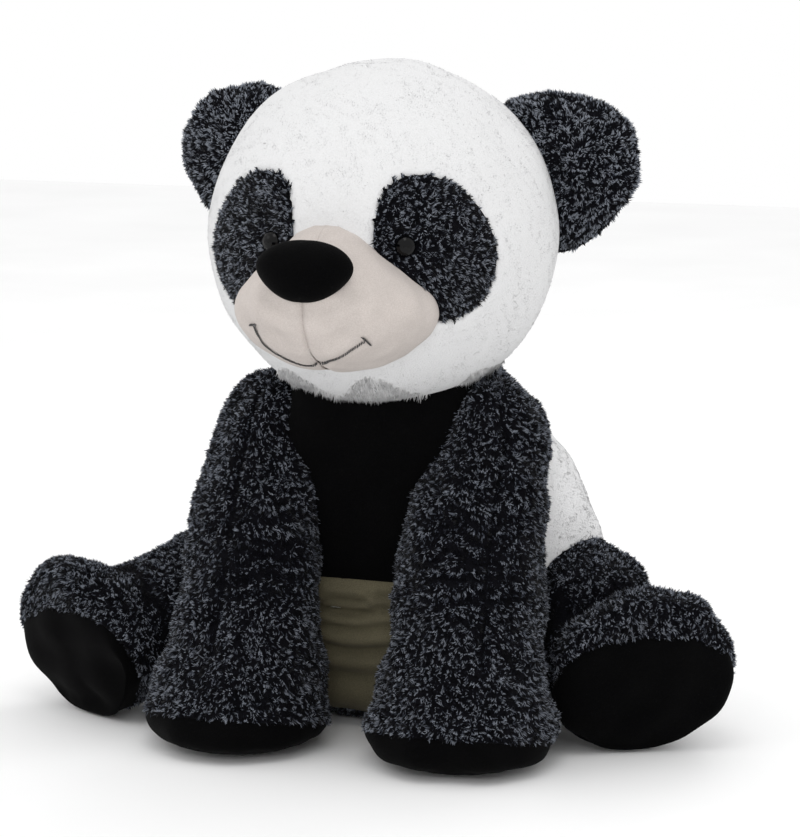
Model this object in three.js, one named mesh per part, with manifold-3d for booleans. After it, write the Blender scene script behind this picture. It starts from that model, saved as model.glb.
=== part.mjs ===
// Seated plush panda, built as sewn covers over separate stuffing. Millimetres, +Z up.
// The panda faces -Y and its left side is +X. The origin is on the floor, under the flat of the seat.
import * as THREE from "three";
import { mergeVertices } from "three/addons/utils/BufferGeometryUtils.js";
import Module from "manifold-3d";

const wasm = await Module();
wasm.setup();

// Driving dimensions.
const FABRIC = 3; // backing cloth with the root of its pile
const SEAM = 0.4; // space between pieces that are sewn or packed together
const CLEAR = 2; // space around a limb, so that it can swing
const HEAD = { at: [0, -85, 434], side: 150, up: 147 };
const SHOULDER = [102, -88, 262];
const ARM_SWING = 50; // degrees, forward and up
const HIP = [118, -4, 86];
const LEG_LIFT = 16;
const NECK = [0, -85, 350];
const NOD = { back: 8, forward: 8 };
const NECK_PLUG = { radius: 42, low: 244, high: 290 };
const TAIL = { at: [0, 167, 66], size: [34, 27, 30] };
const EYE = { radius: 9, sunk: 3, shank: 2.4, length: 17, washer: 9, washerThick: 1.8 };

const MATERIALS = {
  charcoal: new THREE.MeshStandardMaterial({ color: 0x2b2c33, roughness: 0.95, metalness: 0 }),
  white: new THREE.MeshStandardMaterial({ color: 0xefefee, roughness: 0.95, metalness: 0 }),
  black: new THREE.MeshStandardMaterial({ color: 0x050506, roughness: 0.9, metalness: 0 }),
  cream: new THREE.MeshStandardMaterial({ color: 0xe6dfd6, roughness: 0.85, metalness: 0 }),
  fill: new THREE.MeshStandardMaterial({ color: 0xf6f6f4, roughness: 1, metalness: 0 }),
  bag: new THREE.MeshStandardMaterial({ color: 0xd8d4c8, roughness: 0.9, metalness: 0 }),
  eye: new THREE.MeshStandardMaterial({ color: 0x08080a, roughness: 0.08, metalness: 0 }),
  washer: new THREE.MeshStandardMaterial({ color: 0xe8e8e4, roughness: 0.5, metalness: 0 }),
  thread: new THREE.MeshStandardMaterial({ color: 0x141414, roughness: 0.6, metalness: 0 }),
};

// ---- Solids -------------------------------------------------------------------------------

// A closed three.js geometry as a manifold-3d solid.
function solid(geometry) {
  const bare = geometry.clone();
  bare.deleteAttribute("normal");
  bare.deleteAttribute("uv");
  const merged = mergeVertices(bare, 1e-3);
  return new wasm.Manifold(
    new wasm.Mesh({
      numProp: 3,
      vertProperties: new Float32Array(merged.attributes.position.array),
      triVerts: new Uint32Array(merged.index.array),
    }),
  );
}

// A manifold-3d solid as a three.js geometry.
function geometryOf(shape) {
  const mesh = shape.getMesh();
  const corners = new Float32Array(mesh.numVert * 3);
  for (let i = 0; i < mesh.numVert; i += 1) {
    corners.set(mesh.vertProperties.subarray(i * mesh.numProp, i * mesh.numProp + 3), i * 3);
  }
  return new THREE.BufferGeometry()
    .setAttribute("position", new THREE.BufferAttribute(corners, 3))
    .setIndex(new THREE.BufferAttribute(new Uint32Array(mesh.triVerts), 1));
}

// The biggest of a shape's separate bodies, without the slivers that a cut leaves.
const biggest = (shape) => shape.decompose().sort((a, b) => b.volume() - a.volume())[0];

// The block between two corners.
function block(low, high) {
  const size = high.map((value, i) => value - low[i]);
  const middle = high.map((value, i) => (value + low[i]) / 2);
  return solid(new THREE.BoxGeometry(...size).translate(...middle));
}

const FAR = 900;
const above = (z) => block([-FAR, -FAR, z], [FAR, FAR, FAR]);
const below = (z) => block([-FAR, -FAR, -FAR], [FAR, FAR, z]);

function ball(at, radius, around = 20, rings = 12) {
  return solid(new THREE.SphereGeometry(radius, around, rings).translate(...at));
}

// An upright round rod, standing on a place.
function rod([x, y, z], radius, height, around) {
  const shape = new THREE.CylinderGeometry(radius, radius, height, around);
  return solid(shape.rotateX(Math.PI / 2).translate(x, y, z + height / 2));
}

// A solid turned about an axis through a point by some degrees.
function turned(shape, at, axis, degrees) {
  const way = new THREE.Vector3(...axis).normalize();
  const matrix = new THREE.Matrix4()
    .makeTranslation(...at)
    .multiply(new THREE.Matrix4().makeRotationAxis(way, THREE.MathUtils.degToRad(degrees)))
    .multiply(new THREE.Matrix4().makeTranslation(...at.map((value) => -value)));
  return shape.transform(matrix.elements);
}

const mirrored = (shape) => shape.transform(new THREE.Matrix4().makeScale(-1, 1, 1).elements);

// A rounded body through stations. Each station has its centre, its two radii and, for an uneven
// section, a second depth for the +V side. The radii swell by grow, and so does the length.
function loft({ stations, around, along, caps, sections, grow = 0, shape = (point) => point }) {
  const places = stations.map((s) => new THREE.Vector3(...s.at));
  const last = places.length - 1;
  const lead = places[0].clone().sub(places[1]).normalize();
  const tail = places[last].clone().sub(places[last - 1]).normalize();
  places[0].addScaledVector(lead, grow);
  places[last].addScaledVector(tail, grow);
  const path = new THREE.CatmullRomCurve3(places, false, "catmullrom", 0.5);
  const radii = new THREE.CatmullRomCurve3(
    stations.map((s) => new THREE.Vector3(s.side, s.deep, s.back ?? s.deep)),
    false,
    "catmullrom",
    0.5,
  );
  const length = path.getLength();
  const corners = [];
  const faces = [];
  const ringStart = (i) => 1 + (i - 1) * around;
  for (let i = 0; i <= along; i += 1) {
    const t = 0.5 - 0.5 * Math.cos((Math.PI * i) / along);
    const at = path.getPoint(t);
    if (i === 0 || i === along) {
      corners.push(at);
      continue;
    }
    const size = radii.getPoint(t);
    const fromStart = Math.min(1, (t * length) / (caps[0] + grow));
    const fromEnd = Math.min(1, ((1 - t) * length) / (caps[1] + grow));
    const round = Math.sqrt(1 - (1 - fromStart) ** 2) * Math.sqrt(1 - (1 - fromEnd) ** 2);
    const [u, v] = sections(path.getTangent(t), t);
    for (let k = 0; k < around; k += 1) {
      const angle = (2 * Math.PI * k) / around;
      const deep = Math.sin(angle) > 0 ? size.z : size.y;
      corners.push(
        at
          .clone()
          .addScaledVector(u, Math.cos(angle) * (size.x + grow) * round)
          .addScaledVector(v, Math.sin(angle) * (deep + grow) * round),
      );
    }
  }
  const endPole = corners.length - 1;
  for (let k = 0; k < around; k += 1) {
    const next = (k + 1) % around;
    faces.push([0, ringStart(1) + next, ringStart(1) + k]);
    for (let i = 1; i < along - 1; i += 1) {
      const [a, b] = [ringStart(i), ringStart(i + 1)];
      faces.push([a + k, a + next, b + next], [a + k, b + next, b + k]);
    }
    faces.push([ringStart(along - 1) + k, ringStart(along - 1) + next, endPole]);
  }
  const geometry = new THREE.BufferGeometry()
    .setFromPoints(corners.map(shape))
    .setIndex(faces.flat());
  const made = solid(geometry);
  if (made.volume() > 0) return made;
  return solid(geometry.setIndex(faces.map(([a, b, c]) => [a, c, b]).flat()));
}

const LEVEL = () => [new THREE.Vector3(1, 0, 0), new THREE.Vector3(0, 1, 0)];

// ---- Forms: each part's outer shape, swollen or shrunk by grow ----------------------------

function torsoForm(grow) {
  const stations = [
    { at: [0, 6, -14], side: 104, deep: 90, back: 104 },
    { at: [0, 5, 34], side: 152, deep: 112, back: 140 },
    { at: [0, 4, 90], side: 170, deep: 122, back: 152 },
    { at: [0, 0, 150], side: 167, deep: 120, back: 150 },
    { at: [0, -16, 210], side: 149, deep: 112, back: 140 },
    { at: [0, -36, 262], side: 120, deep: 102, back: 122 },
    { at: [0, -58, 306], side: 94, deep: 84, back: 92 },
    { at: [0, -74, 342], side: 70, deep: 64, back: 66 },
  ];
  const made = loft({ stations, around: 20, along: 10, caps: [46, 34], sections: LEVEL, grow });
  return made.intersect(above(-grow));
}

function headForm(grow) {
  const [x, y, z] = HEAD.at;
  const shape = new THREE.SphereGeometry(1, 20, 12).rotateX(Math.PI / 2);
  shape.scale(HEAD.side + grow, HEAD.side + grow, HEAD.up + grow).translate(x, y, z);
  return solid(shape);
}

// The left arm is fuller on its inner side, and its paw stands a little further in.
const ARMS = { left: { sign: 1, fuller: 9 }, right: { sign: -1, fuller: 0 } };

function armForm(arm, grow) {
  const [x, y, z] = SHOULDER;
  const stations = [
    [-6, 2, 48, 38, 40, 0],
    [0, 0, 0, 46, 46, 0.4],
    [0, -30, -58, 54, 52, 1],
    [0, -52, -118, 59, 56, 1],
    [0, -70, -168, 63, 60, 0.7],
    [0, -82, -206, 72, 68, 0.6],
    [0, -88, -234, 76, 73, 0.6],
    [0, -90, -266, 64, 62, 0.6],
  ].map(([dx, dy, dz, side, deep, share]) => ({
    at: [arm.sign * (x + dx - share * arm.fuller), y + dy, z + dz],
    side: side + 0.5 * share * arm.fuller,
    deep,
  }));
  const made = loft({ stations, around: 15, along: 9, caps: [50, 30], sections: LEVEL, grow });
  return made.intersect(above(-grow));
}

// A leg runs out from the hip and ends in an upturned foot. Its sections stand upright, and the
// foot rolls outwards towards the sole.
const LEGS = {
  left: {
    sign: 1,
    out: [0.79, -0.61, 0],
    sole: [0.42, -0.87, -0.25],
    stations: [
      { at: [88, 22, 88], side: 66, deep: 74 },
      { at: [130, -8, 88], side: 74, deep: 82 },
      { at: [170, -36, 81], side: 70, deep: 74 },
      { at: [204, -64, 70], side: 65, deep: 61 },
      { at: [229, -92, 70], side: 78, deep: 68 },
      { at: [244, -122, 66], side: 74, deep: 66 },
    ],
  },
  right: {
    sign: -1,
    out: [-0.79, -0.61, 0],
    sole: [-0.45, -0.85, -0.28],
    stations: [
      { at: [-88, 22, 88], side: 66, deep: 74 },
      { at: [-137, -16, 87], side: 73, deep: 80 },
      { at: [-187, -52, 78], side: 69, deep: 71 },
      { at: [-231, -88, 67], side: 65, deep: 60 },
      { at: [-262, -118, 66], side: 77, deep: 66 },
      { at: [-282, -146, 62], side: 73, deep: 63 },
    ],
  },
};
const SOLE = { inset: 9, flat: 0.8, seam: 4 };
const FOOT_ROLL = 24;

// The plane that the sole is pressed flat against, tipped down and forwards.
function solePlane(leg) {
  const way = new THREE.Vector3(...leg.sole).normalize();
  const end = new THREE.Vector3(...leg.stations.at(-1).at);
  return { way, at: end.addScaledVector(way, -SOLE.inset) };
}

function legForm(leg, grow) {
  const sections = (tangent, t) => {
    const u = new THREE.Vector3(0, 0, 1).cross(tangent).normalize();
    const v = tangent.clone().cross(u).normalize();
    const rolled = THREE.MathUtils.smoothstep(t, 0.55, 0.85);
    const roll = THREE.MathUtils.degToRad(leg.sign * FOOT_ROLL * rolled);
    return [
      u.clone().applyAxisAngle(tangent, roll),
      v.clone().applyAxisAngle(tangent, roll),
    ];
  };
  const { at, way } = solePlane(leg);
  at.addScaledVector(way, grow);
  const flatten = (point) => {
    const beyond = point.clone().sub(at).dot(way);
    return beyond > 0 ? point.addScaledVector(way, -SOLE.flat * beyond) : point;
  };
  const made = loft({
    stations: leg.stations, around: 15, along: 9, caps: [44, 24], sections, grow, shape: flatten,
  });
  return made.intersect(above(-grow));
}

// Where the limb is at each step of its swing, for the room that it needs.
function swept(form, at, axis, angles) {
  return angles.map((angle) => turned(form, at, axis, angle)).reduce((a, b) => a.add(b));
}

function armSweep(arm, grow) {
  const angles = [0, 0.25, 0.5, 0.75, 1].map((share) => share * ARM_SWING);
  return swept(armForm(arm, grow + 1), SHOULDER, [-1, 0, 0], angles);
}

function legSweep(leg, grow) {
  const hip = [leg.sign * HIP[0], HIP[1], HIP[2]];
  const axis = [leg.out[1], -leg.out[0], 0];
  return swept(legForm(leg, grow), hip, axis, [0, LEG_LIFT]);
}

// The nod only slides the head's ball back and forth, so its sweep is a slightly longer ball.
function headSweep(grow) {
  const [x, y, z] = HEAD.at;
  const slide = (z - NECK[2]) * Math.sin(THREE.MathUtils.degToRad(NOD.forward));
  const reach = HEAD.side + grow + 6;
  const shape = new THREE.SphereGeometry(1, 20, 12).rotateX(Math.PI / 2);
  return solid(shape.scale(reach, reach + slide, HEAD.up + grow + 5).translate(x, y, z));
}

// The room that everything hung on the torso takes from it.
function torsoRoom(grow) {
  return headSweep(grow)
    .add(armSweep(ARMS.left, grow))
    .add(armSweep(ARMS.right, grow))
    .add(legSweep(LEGS.left, grow))
    .add(legSweep(LEGS.right, grow));
}

// ---- The assembly -------------------------------------------------------------------------

const panda = new THREE.Group();

function piece(name, shape, material) {
  const mesh = new THREE.Mesh(geometryOf(biggest(shape)), MATERIALS[material]);
  mesh.name = name;
  panda.add(mesh);
}

// Splits a shape at a plane z = level, leaving a seam.
const upper = (shape, level) => shape.intersect(above(level + SEAM / 2));
const lower = (shape, level) => shape.intersect(below(level - SEAM / 2));

function buildTorso() {
  const room = torsoRoom(CLEAR);
  const plug = rod([0, NECK[1], NECK_PLUG.low - 1], NECK_PLUG.radius + 1, 200, 24);
  const cover = torsoForm(0).subtract(torsoForm(-FABRIC)).subtract(room).subtract(plug);
  const inside = torsoForm(-FABRIC - SEAM)
    .subtract(torsoRoom(CLEAR + SEAM))
    .subtract(plug);

  const seatTop = 14;
  const bellyTop = 137;
  const yokeBottom = 256;
  const chestHalf = 80;
  const bellyHalf = 112;
  const sideSeam = -34;
  const chestBox = block([-chestHalf, -FAR, bellyTop], [chestHalf, sideSeam, FAR]);
  const bellyBox = block([-bellyHalf, -FAR, seatTop], [bellyHalf, sideSeam, bellyTop]);
  const chestRoom = block(
    [-chestHalf - SEAM, -FAR, bellyTop - SEAM],
    [chestHalf + SEAM, sideSeam + SEAM, FAR],
  );
  const bellyRoom = block(
    [-bellyHalf - SEAM, -FAR, 0],
    [bellyHalf + SEAM, sideSeam + SEAM, bellyTop + SEAM / 2],
  );
  piece("chest_panel", cover.intersect(chestBox), "black");
  piece("belly_panel", lower(cover, bellyTop).intersect(bellyBox), "cream");
  const rest = upper(cover, seatTop).subtract(chestRoom).subtract(bellyRoom);
  piece("yoke_panel", upper(rest, yokeBottom), "charcoal");
  piece("back_panel", lower(rest, yokeBottom), "white");
  piece("seat_panel", lower(cover, seatTop), "charcoal");
  const bagTop = 46;
  piece("torso_stuffing", upper(inside, bagTop), "fill");
  piece("seat_pellet_bag", lower(inside, bagTop), "bag");
  const { radius, low, high } = NECK_PLUG;
  const neck = rod([0, NECK[1], low], radius, high - low, 24);
  piece("neck_stuffing", neck.subtract(headSweep(CLEAR)), "fill");
}

function buildTail() {
  const [side, deep, up] = TAIL.size;
  const tail = (grow) => {
    const shape = new THREE.SphereGeometry(1, 14, 8);
    shape.scale(side + grow, deep + grow, up + grow).translate(...TAIL.at);
    return solid(shape).subtract(torsoForm(SEAM));
  };
  const cover = tail(0).subtract(tail(-FABRIC));
  piece("tail_cover", cover, "white");
  piece("tail_stuffing", tail(-FABRIC - SEAM).subtract(torsoForm(2 * SEAM + FABRIC)), "fill");
}

function buildArm(name) {
  const arm = ARMS[name];
  const padTop = 26;
  const top = SHOULDER[2] + 38;
  const cover = armForm(arm, 0).subtract(armForm(arm, -FABRIC)).subtract(above(top));
  piece(`arm_cover_${name}`, upper(cover, padTop), "charcoal");
  piece(`paw_pad_${name}`, lower(cover, padTop), "black");
  piece(`arm_stuffing_${name}`, armForm(arm, -FABRIC - SEAM), "fill");
}

function buildLeg(name) {
  const leg = LEGS[name];
  const shell = legForm(leg, 0).subtract(legForm(leg, -FABRIC));
  const { at, way } = solePlane(leg);
  const beyond = (distance) => {
    const box = new THREE.BoxGeometry(FAR, FAR, FAR).translate(0, 0, FAR / 2);
    const up = new THREE.Vector3(0, 0, 1);
    box.applyQuaternion(new THREE.Quaternion().setFromUnitVectors(up, way));
    return solid(box.translate(...at.clone().addScaledVector(way, distance).toArray()));
  };
  const opening = ball(leg.stations[0].at, 46, 16, 10);
  piece(`leg_cover_${name}`, shell.subtract(beyond(-SOLE.seam - SEAM)).subtract(opening), "charcoal");
  piece(`sole_pad_${name}`, shell.intersect(beyond(-SOLE.seam)), "black");
  piece(`leg_stuffing_${name}`, legForm(leg, -FABRIC - 5 * SEAM).subtract(shell), "fill");
}

// ---- Head ---------------------------------------------------------------------------------

const headPoint = (azimuth, elevation, out = 0) => {
  const a = THREE.MathUtils.degToRad(azimuth);
  const e = THREE.MathUtils.degToRad(elevation);
  return new THREE.Vector3(
    HEAD.at[0] + (HEAD.side + out) * Math.sin(a) * Math.cos(e),
    HEAD.at[1] - (HEAD.side + out) * Math.cos(a) * Math.cos(e),
    HEAD.at[2] + (HEAD.up + out) * Math.sin(e),
  );
};

// The turn that carries local +Z to the way out of the head at a place.
function outward(azimuth, elevation, spin = 0) {
  const way = headPoint(azimuth, elevation).sub(new THREE.Vector3(...HEAD.at)).normalize();
  const side = new THREE.Vector3(0, 0, 1).cross(way).normalize();
  const up = way.clone().cross(side);
  const turn = new THREE.Matrix4().makeBasis(side, up, way);
  return turn.multiply(new THREE.Matrix4().makeRotationZ(THREE.MathUtils.degToRad(spin)));
}

const MUZZLE = { at: [0, -204, 398], side: 88, deep: 92, up: 64, taper: 0.5 };
const NOSE = { at: [0, -288, 426], side: 41, deep: 20, up: 26, lean: -24 };
const PATCH = { elevation: 1.5, side: 51, up: 63, spin: 24 };
const EYE_LEVEL = 2.5;
// The face is sewn a little round to the left.
const FACE = { left: { patch: 35, eye: 25 }, right: { patch: 32, eye: 20.5 } };
const EAR = { azimuth: 116, elevation: 20, tall: 90, wide: 72, thick: 17, opening: 25 };

// The muzzle narrows towards its bridge.
function muzzleWidth(height) {
  return 1 - MUZZLE.taper * THREE.MathUtils.smoothstep(height, -0.35, 1);
}

function muzzleForm(grow) {
  const shape = new THREE.SphereGeometry(1, 18, 11).rotateX(Math.PI / 2);
  const place = shape.attributes.position;
  for (let i = 0; i < place.count; i += 1) {
    place.setX(i, place.getX(i) * (muzzleWidth(place.getZ(i)) * MUZZLE.side + grow));
  }
  shape.scale(1, MUZZLE.deep + grow, MUZZLE.up + grow).translate(...MUZZLE.at);
  return solid(shape);
}

function noseForm(grow) {
  return solid(
    new THREE.SphereGeometry(1, 14, 8)
      .scale(NOSE.side + grow, NOSE.deep + grow, NOSE.up + grow)
      .rotateX(THREE.MathUtils.degToRad(NOSE.lean))
      .translate(...NOSE.at),
  );
}

// An egg-shaped plug through the head's cover, wide at the outer lower end.
function patchPlug(side, grow) {
  const azimuth = FACE[side].patch;
  const outline = new THREE.Shape();
  const points = 18;
  for (let i = 0; i < points; i += 1) {
    const angle = (2 * Math.PI * i) / points;
    const swell = 1 - 0.1 * Math.sin(angle);
    const x = (PATCH.side + grow) * Math.cos(angle) * swell;
    const y = (PATCH.up + grow) * Math.sin(angle);
    if (i === 0) outline.moveTo(x, y);
    else outline.lineTo(x, y);
  }
  outline.closePath();
  return solid(
    new THREE.ExtrudeGeometry(outline, { depth: 120, bevelEnabled: false })
      .translate(0, 0, -90)
      .applyMatrix4(outward(azimuth, PATCH.elevation, PATCH.spin))
      .translate(...headPoint(azimuth, PATCH.elevation).toArray()),
  );
}

// A moulded eye: a dome on a shank, turned about local +Z, with its washer further down.
function eyePieces(side, grow) {
  const azimuth = FACE[side].eye;
  const r = EYE.radius + grow;
  const dome = [];
  for (let i = 0; i <= 5; i += 1) {
    const angle = (Math.PI / 2) * (i / 5);
    dome.push(new THREE.Vector2(r * Math.cos(angle), (r * 0.72) * Math.sin(angle)));
  }
  dome[dome.length - 1].x = 0;
  const shank = EYE.shank + grow;
  const profile = [
    new THREE.Vector2(0, -EYE.length - grow),
    new THREE.Vector2(shank, -EYE.length - grow),
    new THREE.Vector2(shank, -grow),
    new THREE.Vector2(r, -grow),
    ...dome,
  ];
  const eye = solid(new THREE.LatheGeometry(profile, 20).rotateX(Math.PI / 2));
  const washerAt = -FABRIC - 3.8 - EYE.washerThick + EYE.sunk;
  const ring = [
    [shank + 0.4, washerAt - grow],
    [EYE.washer + grow, washerAt - grow],
    [EYE.washer + grow, washerAt + EYE.washerThick + grow],
    [shank + 0.4, washerAt + EYE.washerThick + grow],
    [shank + 0.4, washerAt - grow],
  ].map(([x, y]) => new THREE.Vector2(x, y));
  const washer = solid(new THREE.LatheGeometry(ring, 12).rotateX(Math.PI / 2));
  const deepest = -EYE.length - grow;
  const socket = solid(
    new THREE.CylinderGeometry(EYE.washer + grow, EYE.washer + grow, -washerAt + grow, 12)
      .rotateX(Math.PI / 2)
      .translate(0, 0, (washerAt - grow) / 2),
  ).add(
    solid(
      new THREE.CylinderGeometry(shank, shank, -deepest, 12)
        .rotateX(Math.PI / 2)
        .translate(0, 0, deepest / 2),
    ),
  );
  const place = new THREE.Matrix4()
    .makeTranslation(...headPoint(azimuth, EYE_LEVEL, -EYE.sunk).toArray())
    .multiply(outward(azimuth, EYE_LEVEL));
  return [eye, washer, socket].map((shape) => shape.transform(place.elements));
}

// The ear's own frame: +X out of the head, +Y along the seam on the head, +Z through the ear.
function earFrame() {
  const root = headPoint(EAR.azimuth, EAR.elevation, -6);
  const away = root.clone().sub(new THREE.Vector3(...HEAD.at));
  const out = new THREE.Vector3(away.x, away.y * 0.12, away.z * 0.95).normalize();
  const front = new THREE.Vector3(0.12, -1, 0.05);
  const along = front.clone().cross(out).normalize();
  const through = out.clone().cross(along).normalize();
  return new THREE.Matrix4().makeBasis(out, along, through).setPosition(root);
}

function earForm(grow) {
  const shape = new THREE.SphereGeometry(1, 18, 8).rotateX(Math.PI / 2);
  shape.scale(EAR.tall + grow, EAR.wide + grow, EAR.thick + grow);
  const whole = solid(shape).intersect(block([-12 - grow, -FAR, -FAR], [FAR, FAR, FAR]));
  return whole.transform(earFrame().elements);
}

// The opening in the head's cover and stuffing that an ear is sewn into.
function earRoom(grow) {
  const length = 2 * (EAR.wide + 3 + grow);
  const barrel = solid(new THREE.CylinderGeometry(EAR.opening + grow, EAR.opening + grow, length, 16));
  return barrel.transform(earFrame().elements);
}

function buildEar(name, side) {
  const place = (shape) => (side > 0 ? shape : mirrored(shape));
  const matrix = earFrame();
  const half = (low, high) => block([-FAR, -FAR, low], [FAR, FAR, high]).transform(matrix.elements);
  const shell = earForm(0).subtract(earForm(-FABRIC));
  piece(`ear_front_${name}`, place(shell.intersect(half(SEAM / 2, FAR))), "charcoal");
  piece(`ear_back_${name}`, place(shell.intersect(half(-FAR, -SEAM / 2))), "charcoal");
  piece(`ear_stuffing_${name}`, place(earForm(-FABRIC - SEAM)), "fill");
}

// The smile: a thread over the muzzle's skin, through places given as turns about its centre.
function mouthThread() {
  const onMuzzle = (azimuth, elevation) => {
    const a = THREE.MathUtils.degToRad(azimuth);
    const e = THREE.MathUtils.degToRad(elevation);
    const out = 1.5;
    const width = muzzleWidth(Math.sin(e)) * MUZZLE.side + out;
    return new THREE.Vector3(
      MUZZLE.at[0] + width * Math.sin(a) * Math.cos(e),
      MUZZLE.at[1] - (MUZZLE.deep + out) * Math.cos(a) * Math.cos(e),
      MUZZLE.at[2] + (MUZZLE.up + out) * Math.sin(e),
    );
  };
  const reach = 36;
  const smile = [];
  for (let i = 0; i <= 12; i += 1) {
    const across = -1 + i / 6;
    const bend = 1 - across ** 2;
    smile.push(onMuzzle(reach * across - 14 * bend, -22 - 4 * across - 38 * bend));
  }
  const tick = (side) => [
    onMuzzle(side * (reach - 4), -16 - 4 * side),
    onMuzzle(side * reach, -21.5 - 4 * side),
    onMuzzle(side * (reach + 4), -27 - 4 * side),
  ];
  const strand = (points, steps) => {
    const section = new THREE.Shape().absarc(0, 0, 0.9, 0, 2 * Math.PI);
    return solid(
      new THREE.ExtrudeGeometry(section, {
        steps,
        curveSegments: 3,
        extrudePath: new THREE.CatmullRomCurve3(points),
      }),
    );
  };
  return strand(smile, 18).add(strand(tick(1), 2)).add(strand(tick(-1), 2));
}

function buildHead() {
  const ears = earRoom(0).add(mirrored(earRoom(0)));
  const earsInside = earRoom(SEAM).add(mirrored(earRoom(SEAM)));
  const shell = headForm(0).subtract(headForm(-FABRIC)).subtract(ears);
  const muzzleRoom = muzzleForm(SEAM);
  const neckHole = rod([0, NECK[1], HEAD.at[2] - HEAD.up - 60], 60, 120, 24);
  const patchRoom = patchPlug("left", SEAM).add(mirrored(patchPlug("right", SEAM)));
  const sideSeam = HEAD.at[1] + 18;
  const front = block([-FAR, -FAR, -FAR], [FAR, sideSeam - SEAM / 2, FAR]);
  const behind = block([-FAR, sideSeam + SEAM / 2, -FAR], [FAR, FAR, FAR]);
  const face = shell.intersect(front).subtract(muzzleRoom).subtract(patchRoom);
  piece("face_panel", face.subtract(neckHole), "white");
  piece("head_back_panel", shell.intersect(behind).subtract(neckHole), "white");
  const holes = eyePieces("left", SEAM)[2].add(mirrored(eyePieces("right", SEAM)[2]));
  const inside = headForm(-FABRIC - SEAM);
  piece("head_stuffing", inside.subtract(earsInside).subtract(holes), "fill");

  for (const side of ["left", "right"]) {
    const place = (shape) => (side === "left" ? shape : mirrored(shape));
    const [eye, washer] = eyePieces(side, 0);
    const [eyeRoom] = eyePieces(side, SEAM);
    const patch = shell.intersect(patchPlug(side, 0)).subtract(muzzleRoom).subtract(eyeRoom);
    piece(`eye_patch_${side}`, place(patch), "charcoal");
    piece(`eye_${side}`, place(eye), "eye");
    piece(`eye_washer_${side}`, place(washer), "washer");
  }

  const outsideHead = headForm(-FABRIC);
  const noseRoom = noseForm(SEAM);
  const muzzleCover = muzzleForm(0).subtract(muzzleForm(-FABRIC)).subtract(outsideHead);
  const halfSpace = (low, high) => block([low, -FAR, -FAR], [high, FAR, FAR]);
  piece("muzzle_panel_left", muzzleCover.intersect(halfSpace(SEAM / 2, FAR)), "cream");
  piece("muzzle_panel_right", muzzleCover.intersect(halfSpace(-FAR, -SEAM / 2)), "cream");
  piece("muzzle_stuffing", muzzleForm(-FABRIC - SEAM).subtract(outsideHead), "fill");
  const overMuzzle = muzzleForm(SEAM);
  piece("nose_cover", noseForm(0).subtract(noseForm(-2)).subtract(overMuzzle), "black");
  piece("nose_stuffing", noseForm(-2 - SEAM).subtract(muzzleForm(2 * SEAM)), "fill");
  piece("mouth_stitching", mouthThread().subtract(noseRoom), "thread");
}

buildTorso();
buildTail();
buildArm("left");
buildArm("right");
buildLeg("left");
buildLeg("right");
buildHead();
buildEar("left", 1);
buildEar("right", -1);

export default panda;
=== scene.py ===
"""A seated plush panda: sewn covers puffed up by cloth simulation, with pile made of single fibres."""

import math

import bmesh
import bpy
import numpy as np
from mathutils import Matrix, Vector
from mathutils.bvhtree import BVHTree


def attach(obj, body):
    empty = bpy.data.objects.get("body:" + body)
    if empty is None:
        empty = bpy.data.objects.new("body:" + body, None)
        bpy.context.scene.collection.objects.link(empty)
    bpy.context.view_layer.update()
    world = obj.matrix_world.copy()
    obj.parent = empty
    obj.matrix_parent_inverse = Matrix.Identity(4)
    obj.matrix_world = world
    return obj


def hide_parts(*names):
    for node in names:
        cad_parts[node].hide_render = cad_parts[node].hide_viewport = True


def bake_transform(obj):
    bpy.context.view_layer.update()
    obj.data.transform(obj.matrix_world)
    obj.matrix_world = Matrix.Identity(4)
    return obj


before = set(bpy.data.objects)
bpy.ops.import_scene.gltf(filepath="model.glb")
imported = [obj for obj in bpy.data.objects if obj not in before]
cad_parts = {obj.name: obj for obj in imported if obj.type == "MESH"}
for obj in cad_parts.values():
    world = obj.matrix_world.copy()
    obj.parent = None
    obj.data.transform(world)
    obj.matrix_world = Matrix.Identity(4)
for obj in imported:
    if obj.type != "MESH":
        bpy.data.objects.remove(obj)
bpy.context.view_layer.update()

MM = 0.001
SIM_FRAMES = 20
FLOOR_EDGE = 5.0  # mm above the floor where cloth starts to flatten
HEM = 3.0  # mm of each panel's edge turned in

# Driving dimensions in mm, the same as the CAD solids have.
HEAD_AT = np.array([0.0, -85.0, 434.0])
HEAD_RADII = np.array([150.0, 150.0, 147.0])
MUZZLE_AT = np.array([0.0, -204.0, 398.0])
MUZZLE_RADII = np.array([88.0, 92.0, 64.0])
MUZZLE_TAPER = 0.5
NOSE_AT = np.array([0.0, -288.0, 426.0])
NOSE_RADII = np.array([41.0, 20.0, 25.0])
NOSE_LEAN = -24.0
EAR_ROOT = np.array([121.62, -25.68, 482.22])
EAR_OUT = np.array([0.9344, 0.0547, 0.3520])
EAR_ALONG = np.array([-0.3527, 0.0045, 0.9357])
EAR_SIZE = (90.0, 69.0, 17.0)
SHOULDER = np.array([102.0, -88.0, 262.0])
PATCH = {"elevation": 1.5, "side": 51.0, "up": 63.0, "spin": 24.0}
EYE_LEVEL = 2.5
FACE = {1: {"patch": 35.0, "eye": 25.0}, -1: {"patch": 32.0, "eye": 20.5}}
TAIL_AT = np.array([0.0, 167.0, 66.0])
NECK_AT = np.array([0.0, -85.0, 267.0])

# Each station: centre x, y, z, half width, half depth, half depth at the back.
TORSO = [
    [0, 6, -14, 104, 90, 104],
    [0, 5, 34, 152, 112, 140],
    [0, 4, 90, 170, 122, 152],
    [0, 0, 150, 167, 120, 150],
    [0, -16, 210, 149, 112, 140],
    [0, -36, 262, 120, 102, 122],
    [0, -58, 306, 94, 84, 92],
    [0, -74, 342, 70, 64, 66],
]
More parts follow.
